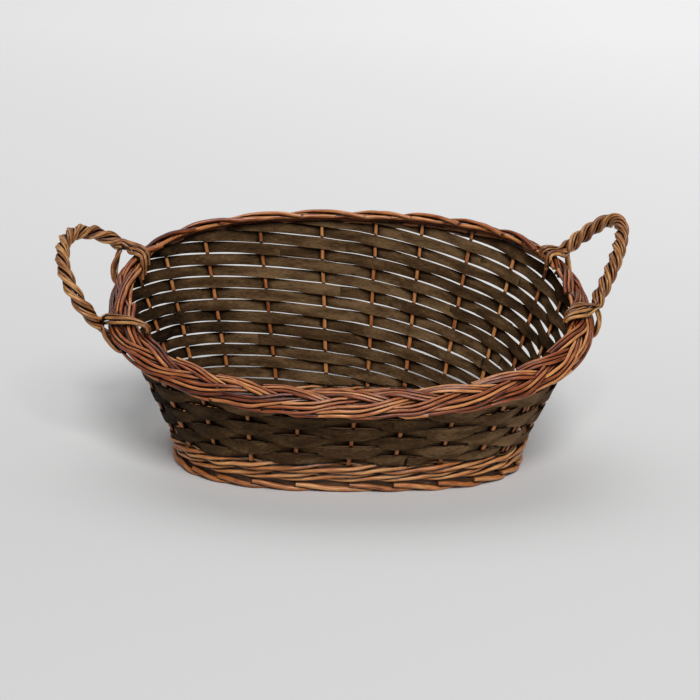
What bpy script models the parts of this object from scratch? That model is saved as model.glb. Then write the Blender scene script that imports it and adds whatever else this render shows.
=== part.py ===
"""Sloping oval basket: chipwood strips on willow stakes, a rolled willow border and two ear handles.

Metres, +Z up. The basket is long in X, its low front faces -Y and its high back +Y.
It stands on Z = 0, with the middle of its bounding box over the origin.
"""
import math

import bmesh
import bpy
from mathutils import Vector

COLLECTION_NAME = "chipwood_basket"
CUTTER_COLLECTION_NAME = "cutters"

# Clearance left between pieces that touch on the real basket.
CLEARANCE = 0.0003

# The ring on which the stakes stand. A roundness of 1 is an ellipse, and less of it is squarer.
RING_HALF_LENGTH = 0.140
RING_HALF_DEPTH = 0.0945
RING_SET_BACK = 0.011
RING_ROUNDNESS_SHARE = 0.73

# The centre line of the border, an oval that slopes down from the back to the front.
RIM_HALF_LENGTH = 0.190
RIM_HALF_DEPTH = 0.127
RIM_FRONT_HEIGHT = 0.0876
RIM_REAR_HEIGHT = 0.1754
RIM_FRONT_ROUNDNESS_SHARE = 0.917
RIM_REAR_ROUNDNESS_SHARE = 0.781

# Stakes, placed as shares of a turn from the right end, anticlockwise seen from above.
STAKE_RADIUS = 0.00185
BY_STAKE_RADIUS = 0.0013
STAKE_FOOT_TURN_SHARES = (
    0.021, 0.066, 0.114, 0.166, 0.207, 0.238, 0.257, 0.298,
    0.354, 0.409, 0.449, 0.500, 0.544, 0.588, 0.631, 0.673,
    0.714, 0.748, 0.769, 0.807, 0.848, 0.894, 0.939, 0.981,
)
STAKE_TOP_TURN_SHARES = (
    0.034, 0.075, 0.119, 0.166, 0.207, 0.237, 0.260, 0.301,
    0.350, 0.398, 0.446, 0.496, 0.545, 0.599, 0.643, 0.680,
    0.716, 0.749, 0.777, 0.812, 0.858, 0.892, 0.946, 0.997,
)
BY_STAKE_PLACES = (("left", 13, -1), ("right", 21, -1))

# The foot border: each stake turns under the base and runs along outside the next ones. A step
# gives the gaps before the stake, and shares of the way out to the outer track and of the rise.
FOOT_CUT_DEPTH = 0.0005
FOOT_OUTER_TRACK = 0.0058
FOOT_RAISED_HEIGHT = 0.0062
FOOT_BEND = 0.0016
FOOT_STEP_SHARES = (
    (1.92, 1.0, 1.0), (1.65, 1.0, 1.0), (1.35, 1.0, 0.15), (0.95, 1.0, 0.0), (0.5, 0.0, 0.0),
)

# The drilled base board, which lies on the foot border.
BOARD_THICKNESS = 0.0035
BOARD_OVERHANG = 0.0034
BOARD_SEGMENTS = 48
BOARD_HOLE_SIDES = 8

# The wale: rounds of three round rods. Each passes outside two stakes, rising, and inside the third.
WALE_RADIUS = 0.0015
WALE_ROUNDS = 2
WALE_RODS_PER_ROUND = 3
WALE_ROD_GAP = 0.0009

# Chipwood strips. The counts say how many rows fill the wall at each stake, from the wale to the
# border, and a strip climbs by shares of a row in each gap between two stakes.
STRIP_THICKNESS = 0.0009
STRIP_SLIT = 0.0012
STRIP_COUNT = 10
STRIP_FIRST_ROW_SHARE = 0.84
STRIP_LEAST_WIDTH_SHARE = 0.16
STRIP_LEAST_STAKE_COUNT = 4
ROW_COUNTS = (
    11.7, 12.6, 13.3, 13.9, 14.1, 14.2, 14.2, 14.1, 13.7, 13.1, 12.2, 10.8,
    9.2, 7.8, 6.9, 6.5, 6.3, 6.2, 6.2, 6.4, 7.0, 7.6, 9.0, 10.4,
)
CLIMB_SHARES = (
    1.0, 1.0, 1.1, 1.05, 0.85, 0.7, 0.6, 0.45, 0.35, 0.25, 0.35, 0.35,
    0.3, 0.2, 0.1, 0.05, -0.1, -0.05, -0.25, 0.0, 0.2, 0.5, 0.5, 0.5,
)

# The border, round rods wound over a flat core. Its section leans down to the outside.
BORDER_HALF_WIDTH = 0.013
BORDER_HALF_THICKNESS = 0.0053
BORDER_LEAN = math.radians(40)
BORDER_ROD_RADIUS = 0.0014
BORDER_ROD_COUNT = 6
BORDER_GAPS_PER_WIND = 3
BORDER_POINTS_PER_GAP = 2
BORDER_CORE_HALF_WIDTH = 0.004

# Ear handles, three twisted strands each, whose ends hook over the border.
STRAND_RADIUS = 0.0022
STRAND_RING_RADIUS = 0.0036
STRAND_COUNT = 3
STRAND_POINTS_PER_TURN = 8
HOOK_SPACING = 0.0072
HOOK_CLEARANCE = 0.0008
HOOK_ANGLES = tuple(math.radians(angle) for angle in (80, 105, 130, 152, 168, 182, 198, 216))
HANDLE_STAND_OFF = 0.009
HANDLE_LANDING = math.radians(70)
LEFT_HANDLE = {
    "name": "left",
    "side": -1,
    "rear_turn_share": 0.429,
    "front_turn_share": 0.552,
    "rear_reach": 0.093,
    "rear_rise": 0.051,
    "rear_spread": 0.0145,
    "front_reach": 0.057,
    "front_rise": 0.035,
    "front_spread": 0.013,
    "turns": 3 + 2 / 3,
}
RIGHT_HANDLE = {
    "name": "right",
    "side": 1,
    "rear_turn_share": 0.08,
    "front_turn_share": 0.004,
    "rear_reach": 0.0855,
    "rear_rise": 0.063,
    "rear_spread": 0.0075,
    "front_reach": 0.028,
    "front_rise": 0.054,
    "front_spread": 0.002,
    "turns": 3 + 2 / 3,
}

STAKE_COUNT = len(STAKE_FOOT_TURN_SHARES)
FOOT_HEIGHT = STAKE_RADIUS - FOOT_CUT_DEPTH
BOARD_BOTTOM = FOOT_HEIGHT + STAKE_RADIUS + CLEARANCE
BOARD_TOP = BOARD_BOTTOM + BOARD_THICKNESS
WALL_START = BOARD_TOP + CLEARANCE
WALE_STEP = 2 * WALE_RADIUS + WALE_ROD_GAP
WALE_FIRST_HEIGHT = FOOT_RAISED_HEIGHT + STAKE_RADIUS + 2 * WALE_RADIUS + WALE_ROD_GAP
WALE_TOP = WALE_FIRST_HEIGHT + WALE_STEP * (2 * WALE_ROUNDS - 1) + WALE_RADIUS
ROWS_START = WALE_TOP + WALE_ROD_GAP
RIM_MIDDLE_HEIGHT = (RIM_FRONT_HEIGHT + RIM_REAR_HEIGHT) / 2
RIM_SLOPE = (RIM_REAR_HEIGHT - RIM_FRONT_HEIGHT) / (2 * RIM_HALF_DEPTH)

# Share of a turn between the two places from which a direction along the wall is read.
TURN_STEP_SHARE = 0.0005


def clear_scene():
    """Removes the scene's objects and makes the two collections."""
    for thing in list(bpy.data.objects):
        bpy.data.objects.remove(thing, do_unlink=True)
    parts = bpy.data.collections.new(COLLECTION_NAME)
    cutters = bpy.data.collections.new(CUTTER_COLLECTION_NAME)
    bpy.context.scene.collection.children.link(parts)
    bpy.context.scene.collection.children.link(cutters)
    return parts, cutters


def make_material(name, colour, roughness):
    """Returns a plain non-metallic material."""
    material = bpy.data.materials.new(name)
    material.use_nodes = True
    shader = material.node_tree.nodes["Principled BSDF"]
    shader.inputs["Base Color"].default_value = (*colour, 1.0)
    shader.inputs["Roughness"].default_value = roughness
    shader.inputs["Metallic"].default_value = 0.0
    material.diffuse_color = (*colour, 1.0)
    return material


def signed_power(value, power):
    return math.copysign(abs(value) ** power, value)


def oval(half_length, half_depth, roundness, turn):
    """Point on a squared oval, at a share of a turn from its right end."""
    angle = 2 * math.pi * turn
    x = half_length * signed_power(math.cos(angle), roundness)
    y = half_depth * signed_power(math.sin(angle), roundness)
    return x, y


def ring_point(turn):
    x, y = oval(RING_HALF_LENGTH, RING_HALF_DEPTH, RING_ROUNDNESS_SHARE, turn)
    return Vector((x, y + RING_SET_BACK, WALL_START))


def rim_point(turn):
    rear = math.sin(2 * math.pi * turn) > 0
    roundness = RIM_REAR_ROUNDNESS_SHARE if rear else RIM_FRONT_ROUNDNESS_SHARE
    x, y = oval(RIM_HALF_LENGTH, RIM_HALF_DEPTH, roundness, turn)
    return Vector((x, y, RIM_MIDDLE_HEIGHT + RIM_SLOPE * y))


def tangent_of(place, turn):
    """Unit direction of a closed line, anticlockwise seen from above."""
    return (place(turn + TURN_STEP_SHARE) - place(turn - TURN_STEP_SHARE)).normalized()


def outward_of(place, turn):
    """Level unit direction out of the basket, square to a closed line."""
    tangent = tangent_of(place, turn)
    return Vector((tangent.y, -tangent.x, 0.0)).normalized()


def turn_at(shares, index):
    """Turn share at a stake, or between two stakes where the index is not whole."""
    whole = math.floor(index)
    laps, first = divmod(whole, STAKE_COUNT)
    start = shares[first] + laps
    laps, second = divmod(whole + 1, STAKE_COUNT)
    end = shares[second] + laps
    return start + (end - start) * (index - whole)


def foot_turn(index):
    return turn_at(STAKE_FOOT_TURN_SHARES, index)


def top_turn(index):
    return turn_at(STAKE_TOP_TURN_SHARES, index)


def wall_directions(index):
    """Foot of the wall, its length to the rim, its upward direction and its outward normal."""
    foot = ring_point(foot_turn(index))
    rise = rim_point(top_turn(index)) - foot
    up = rise.normalized()
    normal = tangent_of(ring_point, foot_turn(index)).cross(up).normalized()
    return foot, rise.length, up, normal


def wall_point(index, climb, out=0.0):
    """Point on the wall, a distance up from its foot and a distance out of its middle."""
    foot, _, up, normal = wall_directions(index)
    return foot + up * climb + normal * out


def climb_at_height(index, height, out=0.0):
    """Distance up the wall at which a line beside its middle reaches a height over the ground."""
    foot, _, up, normal = wall_directions(index)
    return (height - foot.z - normal.z * out) / up.z


def border_frame(turn):
    """Centre of the border, its tangent, and its wide and thin directions."""
    centre = rim_point(turn)
    tangent = tangent_of(rim_point, turn)
    out = outward_of(rim_point, turn)
    out = (out - tangent * out.dot(tangent)).normalized()
    up = out.cross(tangent).normalized()
    wide = out * math.cos(BORDER_LEAN) - up * math.sin(BORDER_LEAN)
    thin = out * math.sin(BORDER_LEAN) + up * math.cos(BORDER_LEAN)
    return centre, tangent, wide, thin


def border_point(turn, angle, wide_radius, thin_radius, along=0.0):
    """Point around the border: angle 0 is its outer edge, a quarter turn its upper face."""
    centre, tangent, wide, thin = border_frame(turn)
    offset = wide * (wide_radius * math.cos(angle)) + thin * (thin_radius * math.sin(angle))
    return centre + offset + tangent * along


def climb_under_border(index, out):
    """Distance up the wall at which a line beside its middle meets the border's underside."""
    _, length, up, normal = wall_directions(index)
    _, _, wide, thin = border_frame(top_turn(index))
    half_width = BORDER_HALF_WIDTH + CLEARANCE
    half_thickness = BORDER_HALF_THICKNESS + CLEARANCE
    start_wide = normal.dot(wide) * out / half_width
    start_thin = normal.dot(thin) * out / half_thickness
    step_wide = -up.dot(wide) / half_width
    step_thin = -up.dot(thin) / half_thickness
    square = step_wide ** 2 + step_thin ** 2
    cross = start_wide * step_wide + start_thin * step_thin
    rest = start_wide ** 2 + start_thin ** 2 - 1
    depth = (math.sqrt(cross ** 2 - square * rest) - cross) / square
    return length - depth


def rod_object(name, points, radius, material, collection, cyclic=False):
    """Round rod along straight runs, with filled ends unless it is a closed ring."""
    curve = bpy.data.curves.new(name, "CURVE")
    curve.dimensions = "3D"
    curve.bevel_depth = radius
    curve.bevel_resolution = 1
    curve.use_fill_caps = not cyclic
    spline = curve.splines.new("POLY")
    spline.points.add(len(points) - 1)
    for spline_point, point in zip(spline.points, points):
        spline_point.co = (*point, 1.0)
    spline.use_cyclic_u = cyclic
    rod = bpy.data.objects.new(name, curve)
    rod.data.materials.append(material)
    collection.objects.link(rod)
    return rod


def mesh_from_curve(rod, collection):
    """Replaces a curve object by a welded mesh object of the same name."""
    name = rod.name
    material = rod.data.materials[0]
    bpy.context.view_layer.update()
    evaluated = rod.evaluated_get(bpy.context.evaluated_depsgraph_get())
    mesh = bpy.data.meshes.new_from_object(evaluated)
    shape = bmesh.new()
    shape.from_mesh(mesh)
    bmesh.ops.remove_doubles(shape, verts=shape.verts, dist=CLEARANCE / 100)
    bmesh.ops.recalc_face_normals(shape, faces=shape.faces)
    shape.to_mesh(mesh)
    shape.free()
    matrix = rod.matrix_world.copy()
    bpy.data.objects.remove(rod, do_unlink=True)
    solid = bpy.data.objects.new(name, mesh)
    solid.matrix_world = matrix
    if not mesh.materials:
        mesh.materials.append(material)
    collection.objects.link(solid)
    return solid


def cut(target, cutter):
    """Cuts one object by another with a Boolean that stays live."""
    modifier = target.modifiers.new("cut_" + cutter.name, "BOOLEAN")
    modifier.operation = "DIFFERENCE"
    modifier.object = cutter


def hide_cutter(cutter):
    cutter.hide_render = True
    cutter.display_type = "WIRE"


def make_floor_cutter(cutters):
    """Block whose top is the ground, which cuts the rods flat where they stand."""
    reach = RIM_HALF_LENGTH * 2
    depth = STAKE_RADIUS * 4
    bpy.ops.mesh.primitive_cube_add(size=1)
    block = bpy.context.active_object
    block.name = "ground_cutter"
    block.scale = (2 * reach, 2 * reach, depth)
    block.location = (0, 0, -depth / 2)
    for owner in list(block.users_collection):
        owner.objects.unlink(block)
    cutters.objects.link(block)
    bpy.context.view_layer.update()
    bpy.ops.object.transform_apply(location=True, rotation=False, scale=True)
    hide_cutter(block)
    return block


def foot_point(index, out, height):
    turn = foot_turn(index)
    point = ring_point(turn) + outward_of(ring_point, turn) * out
    point.z = height
    return point


def stake_path(index):
    """From the cut end of the foot run, under the base, up through the board and up the wall."""
    points = []
    for gaps, track_share, raise_share in FOOT_STEP_SHARES:
        height = FOOT_HEIGHT + (FOOT_RAISED_HEIGHT - FOOT_HEIGHT) * raise_share
        points.append(foot_point(index - gaps, FOOT_OUTER_TRACK * track_share, height))
    corner = foot_point(index, 0.0, FOOT_HEIGHT)
    before = (points[-1] - corner).normalized()
    points.append(corner + before * FOOT_BEND)
    points.append(corner + Vector((0, 0, FOOT_BEND)))
    points.append(wall_point(index, 0.0))
    points.append(wall_point(index, climb_under_border(index, STAKE_RADIUS)))
    return points


def make_stakes(material, parts, ground):
    """One rod for each stake, with its foot run, cut flat where it stands."""
    for index in range(STAKE_COUNT):
        name = f"stake_{index + 1:02d}"
        rod = rod_object(name, stake_path(index), STAKE_RADIUS, material, parts)
        cut(mesh_from_curve(rod, parts), ground)


def make_by_stakes(material, parts):
    """A thin rod beside a stake near each handle's front leg."""
    spacing = STAKE_RADIUS + BY_STAKE_RADIUS + CLEARANCE
    for side, index, direction in BY_STAKE_PLACES:
        points = []
        for climb in (climb_at_height(index, ROWS_START), climb_under_border(index, STAKE_RADIUS)):
            beside = wall_point(index, climb)
            towards = wall_point(index + direction, climb) - beside
            points.append(beside + towards.normalized() * spacing)
        rod_object(f"by_stake_{side}", points, BY_STAKE_RADIUS, material, parts)


def make_base_board(material, parts, cutters):
    """Oval board with one hole for each stake."""
    curve = bpy.data.curves.new("base_board", "CURVE")
    curve.dimensions = "2D"
    curve.fill_mode = "BOTH"
    curve.extrude = BOARD_THICKNESS / 2
    spline = curve.splines.new("POLY")
    spline.points.add(BOARD_SEGMENTS - 1)
    for number, spline_point in enumerate(spline.points):
        turn = number / BOARD_SEGMENTS
        place = ring_point(turn) + outward_of(ring_point, turn) * BOARD_OVERHANG
        spline_point.co = (place.x, place.y, 0.0, 1.0)
    spline.use_cyclic_u = True
    board = bpy.data.objects.new("base_board", curve)
    board.location = (0, 0, BOARD_BOTTOM + BOARD_THICKNESS / 2)
    curve.materials.append(material)
    parts.objects.link(board)
    board = mesh_from_curve(board, parts)
    holes = bpy.data.meshes.new("stake_holes")
    shape = bmesh.new()
    for index in range(STAKE_COUNT):
        drill = bmesh.ops.create_cone(
            shape, cap_ends=True, segments=BOARD_HOLE_SIDES,
            radius1=(STAKE_RADIUS + CLEARANCE) / math.cos(math.pi / BOARD_HOLE_SIDES),
            radius2=(STAKE_RADIUS + CLEARANCE) / math.cos(math.pi / BOARD_HOLE_SIDES),
            depth=3 * BOARD_THICKNESS,
        )
        place = foot_point(index, 0.0, BOARD_BOTTOM + BOARD_THICKNESS / 2)
        bmesh.ops.translate(shape, verts=drill["verts"], vec=place)
    shape.to_mesh(holes)
    shape.free()
    cutter = bpy.data.objects.new("stake_holes", holes)
    cutters.objects.link(cutter)
    hide_cutter(cutter)
    cut(board, cutter)


def make_wale(material, parts):
    """Closed rods between the foot border and the first strips."""
    weave = STAKE_RADIUS + WALE_RADIUS + CLEARANCE
    # Outward place and height, in steps, at each half gap of one repeat.
    repeat = ((1, 0.5), (1, 1.0), (1, 1.5), (0, 1.5), (-1, 1.0), (0, 0.5))
    for number in range(WALE_ROUNDS * WALE_RODS_PER_ROUND):
        wale_round, rod = divmod(number, WALE_RODS_PER_ROUND)
        points = []
        for half_gap in range(2 * STAKE_COUNT):
            side, steps = repeat[(half_gap - 2 * rod) % len(repeat)]
            height = WALE_FIRST_HEIGHT + WALE_STEP * (2 * wale_round + steps - 0.5)
            climb = climb_at_height(half_gap / 2, height)
            points.append(wall_point(half_gap / 2, climb, weave * side))
        name = f"wale_rod_{number + 1}"
        rod_object(name, points, WALE_RADIUS, material, parts, cyclic=True)


def climbed_rows(index):
    """Rows that a strip has climbed at a stake."""
    laps, rest = divmod(index, STAKE_COUNT)
    return laps * sum(CLIMB_SHARES) + sum(CLIMB_SHARES[:rest])


def strip_edges(number, index):
    """Lower and upper edge of a strip at a stake, as distances up the wall, its outward place, and
    whether enough of it lies between the wale and the border."""
    rows = climbed_rows(index) + STRIP_FIRST_ROW_SHARE - number
    out = STAKE_RADIUS + STRIP_THICKNESS / 2 + CLEARANCE
    outer_face = out + STRIP_THICKNESS / 2
    if (index - number) % 2 == 0:
        out = -out
    first = climb_at_height(index, ROWS_START, outer_face)
    last = climb_under_border(index, outer_face)
    pitch = (last - first) / ROW_COUNTS[index % STAKE_COUNT]
    middle = first + rows * pitch
    half_width = (pitch - STRIP_SLIT) / 2
    low = max(middle - half_width, first)
    high = min(middle + half_width, last)
    shows = high - low >= STRIP_LEAST_WIDTH_SHARE * pitch
    return low, high, out, shows


def strip_runs():
    """Edges of every strip, stake by stake, where it shows between the wale and the border.

    A strip that passes under the low front of the border comes out again where the border rises.
    """
    runs = []
    for number in range(1, STRIP_COUNT + 1):
        run = []
        for index in range(3 * STAKE_COUNT):
            low, high, out, shows = strip_edges(number, index)
            if shows:
                run.append((wall_point(index, low, out), wall_point(index, high, out)))
            else:
                runs.append(run)
                run = []
        runs.append(run)
    return [run for run in runs if len(run) >= STRIP_LEAST_STAKE_COUNT]


def make_strips(material, parts):
    """Thin ribbons that climb round the wall, out and in past the stakes by turns."""
    for number, run in enumerate(strip_runs(), start=1):
        lower = [low for low, _ in run]
        upper = [high for _, high in run]
        count = len(run)
        faces = [(n, n + 1, count + n + 1, count + n) for n in range(count - 1)]
        name = f"chip_strip_{number:02d}"
        mesh = bpy.data.meshes.new(name)
        mesh.from_pydata(lower + upper, [], faces)
        mesh.materials.append(material)
        strip = bpy.data.objects.new(name, mesh)
        parts.objects.link(strip)
        thickness = strip.modifiers.new("thickness", "SOLIDIFY")
        thickness.thickness = STRIP_THICKNESS
        thickness.offset = 0.0


def make_border(rod_material, core_material, parts):
    """Rods wound round a flat core, over its upper face from the inside to the outside."""
    wide = BORDER_HALF_WIDTH - BORDER_ROD_RADIUS
    thin = BORDER_HALF_THICKNESS - BORDER_ROD_RADIUS
    point_count = STAKE_COUNT * BORDER_POINTS_PER_GAP
    for number in range(BORDER_ROD_COUNT):
        points = []
        for step in range(point_count):
            index = step * STAKE_COUNT / point_count
            winds = index / BORDER_GAPS_PER_WIND + number / BORDER_ROD_COUNT
            points.append(border_point(top_turn(index), -2 * math.pi * winds, wide, thin))
        name = f"border_rod_{number + 1}"
        rod_object(name, points, BORDER_ROD_RADIUS, rod_material, parts, cyclic=True)
    core_half_thickness = thin - BORDER_ROD_RADIUS - 3 * CLEARANCE
    corners = []
    for step in range(point_count):
        centre, _, wide_way, thin_way = border_frame(top_turn(step * STAKE_COUNT / point_count))
        for across, over in ((1, 1), (-1, 1), (-1, -1), (1, -1)):
            corner = centre + wide_way * BORDER_CORE_HALF_WIDTH * across
            corners.append(corner + thin_way * core_half_thickness * over)
    faces = []
    for step in range(point_count):
        start = 4 * step
        end = 4 * ((step + 1) % point_count)
        for side in range(4):
            after = (side + 1) % 4
            faces.append((start + side, end + side, end + after, start + after))
    mesh = bpy.data.meshes.new("border_core")
    mesh.from_pydata(corners, [], faces)
    mesh.materials.append(core_material)
    parts.objects.link(bpy.data.objects.new("border_core", mesh))


def bezier(controls, share):
    rest = 1 - share
    first, second, third, fourth = controls
    return (
        first * rest ** 3 + second * (3 * share * rest ** 2)
        + third * (3 * share ** 2 * rest) + fourth * share ** 3
    )


def landing_point(turn):
    """Where the middle of a handle's rope meets the border."""
    wide = BORDER_HALF_WIDTH + HANDLE_STAND_OFF
    thin = BORDER_HALF_THICKNESS + HANDLE_STAND_OFF
    return border_point(turn, HANDLE_LANDING, wide, thin)


def hook_points(turn, side):
    """A strand's end, from over the border's upper face round its inner edge."""
    along = 0.0
    if side.length > 0:
        along = math.copysign(HOOK_SPACING, side.dot(tangent_of(rim_point, turn)))
    wide = BORDER_HALF_WIDTH + STRAND_RADIUS + HOOK_CLEARANCE
    thin = BORDER_HALF_THICKNESS + STRAND_RADIUS + HOOK_CLEARANCE
    return [border_point(turn, angle, wide, thin, along) for angle in HOOK_ANGLES]


def handle_controls(handle):
    """Four control points of the rope's middle line, from its rear leg to its front leg."""
    rear = landing_point(handle["rear_turn_share"])
    front = landing_point(handle["front_turn_share"])
    side = handle["side"]
    rear_pull = Vector((side * handle["rear_reach"], handle["rear_spread"], handle["rear_rise"]))
    front_pull = Vector((side * handle["front_reach"], -handle["front_spread"], handle["front_rise"]))
    rear_control = rim_point(handle["rear_turn_share"]) + rear_pull
    front_control = rim_point(handle["front_turn_share"]) + front_pull
    return rear, rear_control, front_control, front


def make_handle(handle, material, parts):
    """Three strands twisted along an arch, with hooked ends side by side on the border."""
    controls = handle_controls(handle)
    chord = controls[3] - controls[0]
    bow = bezier(controls, 0.5) - (controls[0] + controls[3]) / 2
    plane_normal = chord.cross(bow).normalized()
    steps = round(handle["turns"] * STRAND_POINTS_PER_TURN)
    for number in range(STRAND_COUNT):
        start_phase = math.radians(90) + 2 * math.pi * number / STRAND_COUNT
        points = []
        side_places = []
        for step in range(steps + 1):
            share = step / steps
            before = bezier(controls, max(share - TURN_STEP_SHARE, 0.0))
            after = bezier(controls, min(share + TURN_STEP_SHARE, 1.0))
            along = (after - before).normalized()
            across = along.cross(plane_normal).normalized()
            over = across.cross(along)
            phase = start_phase + 2 * math.pi * handle["turns"] * share
            middle = bezier(controls, share)
            offset = across * math.cos(phase) + over * math.sin(phase)
            points.append(middle + offset * STRAND_RING_RADIUS)
            if step in (0, steps):
                side_places.append(across * round(math.cos(phase)))
        rear_turn = handle["rear_turn_share"]
        front_turn = handle["front_turn_share"]
        rear_hook = hook_points(rear_turn, side_places[0])
        front_hook = hook_points(front_turn, side_places[1])
        path = list(reversed(rear_hook)) + points + front_hook
        name = f"{handle['name']}_handle_strand_{number + 1}"
        rod_object(name, path, STRAND_RADIUS, material, parts)


def centre_on_origin(parts, cutters):
    """Moves everything level, so that the middle of the bounding box is over the origin."""
    bpy.context.view_layer.update()
    graph = bpy.context.evaluated_depsgraph_get()
    low = [math.inf, math.inf]
    high = [-math.inf, -math.inf]
    for thing in parts.objects:
        evaluated = thing.evaluated_get(graph)
        mesh = evaluated.to_mesh()
        for vertex in mesh.vertices:
            place = evaluated.matrix_world @ vertex.co
            for axis in range(2):
                low[axis] = min(low[axis], place[axis])
                high[axis] = max(high[axis], place[axis])
        evaluated.to_mesh_clear()
    shift = Vector((-(low[0] + high[0]) / 2, -(low[1] + high[1]) / 2, 0))
    for thing in list(parts.objects) + list(cutters.objects):
        thing.location += shift


def main():
    parts, cutters = clear_scene()
    stake_wood = make_material("stained_willow_stake", (0.42, 0.19, 0.07), 0.6)
    border_wood = make_material("stained_willow_border", (0.35, 0.12, 0.045), 0.5)
    handle_wood = make_material("stained_willow_handle", (0.40, 0.18, 0.055), 0.5)
    chip_wood = make_material("stained_chipwood", (0.075, 0.052, 0.03), 0.75)
    board_wood = make_material("stained_plywood", (0.16, 0.09, 0.045), 0.75)
    ground = make_floor_cutter(cutters)
    make_stakes(stake_wood, parts, ground)
    make_by_stakes(stake_wood, parts)
    make_base_board(board_wood, parts, cutters)
    make_wale(border_wood, parts)
    make_strips(chip_wood, parts)
    make_border(border_wood, stake_wood, parts)
    make_handle(LEFT_HANDLE, handle_wood, parts)
    make_handle(RIGHT_HANDLE, handle_wood, parts)
    centre_on_origin(parts, cutters)


main()
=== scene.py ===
"""Sloping oval basket: stained willow rods and dark chipwood strips, in a plain pale studio.

Metres, +Z up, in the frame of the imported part: the low front faces -Y and the high back +Y.
"""
import math
import random

import bpy
import numpy as np
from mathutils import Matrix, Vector
from mathutils.bvhtree import BVHTree


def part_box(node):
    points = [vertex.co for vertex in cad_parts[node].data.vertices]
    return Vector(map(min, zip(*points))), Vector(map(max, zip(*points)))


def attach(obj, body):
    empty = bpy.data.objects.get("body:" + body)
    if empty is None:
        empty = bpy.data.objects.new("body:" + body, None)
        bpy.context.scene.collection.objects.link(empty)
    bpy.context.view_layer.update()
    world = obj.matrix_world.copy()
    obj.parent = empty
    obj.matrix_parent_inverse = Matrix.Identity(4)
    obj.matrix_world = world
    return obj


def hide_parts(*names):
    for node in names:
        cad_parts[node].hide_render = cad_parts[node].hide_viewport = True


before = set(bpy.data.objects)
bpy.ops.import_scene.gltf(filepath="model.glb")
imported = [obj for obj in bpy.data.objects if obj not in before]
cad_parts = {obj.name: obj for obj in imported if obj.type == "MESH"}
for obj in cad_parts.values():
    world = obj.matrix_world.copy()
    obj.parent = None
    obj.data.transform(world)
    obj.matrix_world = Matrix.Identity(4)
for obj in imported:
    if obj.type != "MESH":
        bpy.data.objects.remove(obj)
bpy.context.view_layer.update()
bpy.ops.object.select_all(action="DESELECT")
chance = random.Random(24)
pieces = []

MM = 0.001

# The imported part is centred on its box, so the basket's middle is where the board has its own.
board_low, board_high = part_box("base_board")
SHIFT = Vector(((board_low[0] + board_high[0]) / 2, 0.0, 0.0))

# The wall stands on a ring of stakes and flares to a rim that slopes down to the front.
RING_HALF = (140 * MM, 94.5 * MM)
RING_SET_BACK = 11 * MM
RING_ROUNDNESS = 0.73
RIM_HALF = (190 * MM, 127 * MM)
RIM_FRONT_ROUNDNESS = 0.917
RIM_REAR_ROUNDNESS = 0.781
RIM_MIDDLE_HEIGHT = 131.5 * MM
RIM_SLOPE = 0.3457
WALL_START = 7.15 * MM

# Stakes, as shares of a turn from the right end, anticlockwise seen from above.
FOOT_TURNS = (
    0.021, 0.066, 0.114, 0.166, 0.207, 0.238, 0.257, 0.298,
    0.354, 0.409, 0.449, 0.500, 0.544, 0.588, 0.631, 0.673,
    0.714, 0.748, 0.769, 0.807, 0.848, 0.894, 0.939, 0.981,
)
TOP_TURNS = (
    0.034, 0.075, 0.119, 0.166, 0.207, 0.237, 0.260, 0.301,
    0.350, 0.398, 0.446, 0.496, 0.545, 0.599, 0.643, 0.680,
    0.716, 0.749, 0.777, 0.812, 0.858, 0.892, 0.946, 0.997,
)
STAKES = len(FOOT_TURNS)
STAKE_RADIUS = 1.75 * MM
# Stakes that have a thinner rod pushed in beside them, on the side of the stake before.
BY_STAKES = (("left", 13), ("right", 21))

WALE_RADIUS = 1.6 * MM
WALE_STEP = 3.9 * MM
WALE_FIRST_HEIGHT = 11.95 * MM

# Chipwood rows: how many fill the wall at each stake, and how much a strip climbs in each gap.
ROWS_START = 26.05 * MM
CHIP_THICKNESS = 0.85 * MM
STRIP_COUNT = 10
FIRST_ROW = 0.84
ROW_COUNTS = (
    11.7, 12.6, 13.3, 13.9, 14.1, 14.2, 14.2, 14.1, 13.7, 13.1, 12.2, 10.8,
    9.2, 7.8, 6.9, 6.5, 6.3, 6.2, 6.2, 6.4, 7.0, 7.6, 9.0, 10.4,
)
CLIMBS = (
    1.0, 1.0, 1.1, 1.05, 0.85, 0.7, 0.6, 0.45, 0.35, 0.25, 0.35, 0.35,
    0.3, 0.2, 0.1, 0.05, -0.1, -0.05, -0.25, 0.0, 0.2, 0.5, 0.5, 0.5,
)
# Width of the chips as a share of a row: at the stakes, and between them, where neighbours squeeze.
FULL_SHARES = (
    0.98, 0.98, 0.97, 0.95, 0.95, 0.97, 0.98, 0.97, 0.95, 0.94, 0.95, 0.97,
    1.05, 1.25, 1.38, 1.35, 1.30, 1.30, 1.30, 1.30, 1.30, 1.28, 1.20, 1.08,
)
SQUEEZED_SHARES = (
    0.82, 0.82, 0.84, 0.87, 0.90, 0.94, 0.94, 0.92, 0.88, 0.86, 0.87, 0.90,
    0.95, 0.99, 1.08, 1.08, 1.03, 0.98, 0.98, 0.98, 0.98, 0.97, 0.93, 0.87,
)
# Painted light and shade at each stake, carried in the chips' and border's tint: lowest, so darkest, at the
# left end, where the inside lies in shade, and highest at the front right, where the light falls.
PAINTED_LIGHT_AND_SHADE = (
    0.40, 0.40, 0.55, 0.60, 0.65, 0.70, 0.70, 0.60, 0.35, 0.05, -0.20, -0.30,
    -0.30, 0.0, 0.20, 0.35, 0.40, 0.40, 0.50, 0.75, 1.0, 1.05, 0.80, 0.60,
)

BORDER_HALF_WIDTH = 13 * MM
BORDER_HALF_THICKNESS = 5.3 * MM
BORDER_LEAN = math.radians(40)
BORDER_ROD_RADIUS = 1.5 * MM
BORDER_REACH = BORDER_HALF_WIDTH - BORDER_ROD_RADIUS

# A small step in turns for finding tangents, the end of a draw for where a wave starts,
# and the end of a draw, in metres, for where a pattern starts on a piece.
TURN_STEP = 0.0008
FULL_WAVE = 6.28
PATTERN_SHIFT = 3


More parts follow.
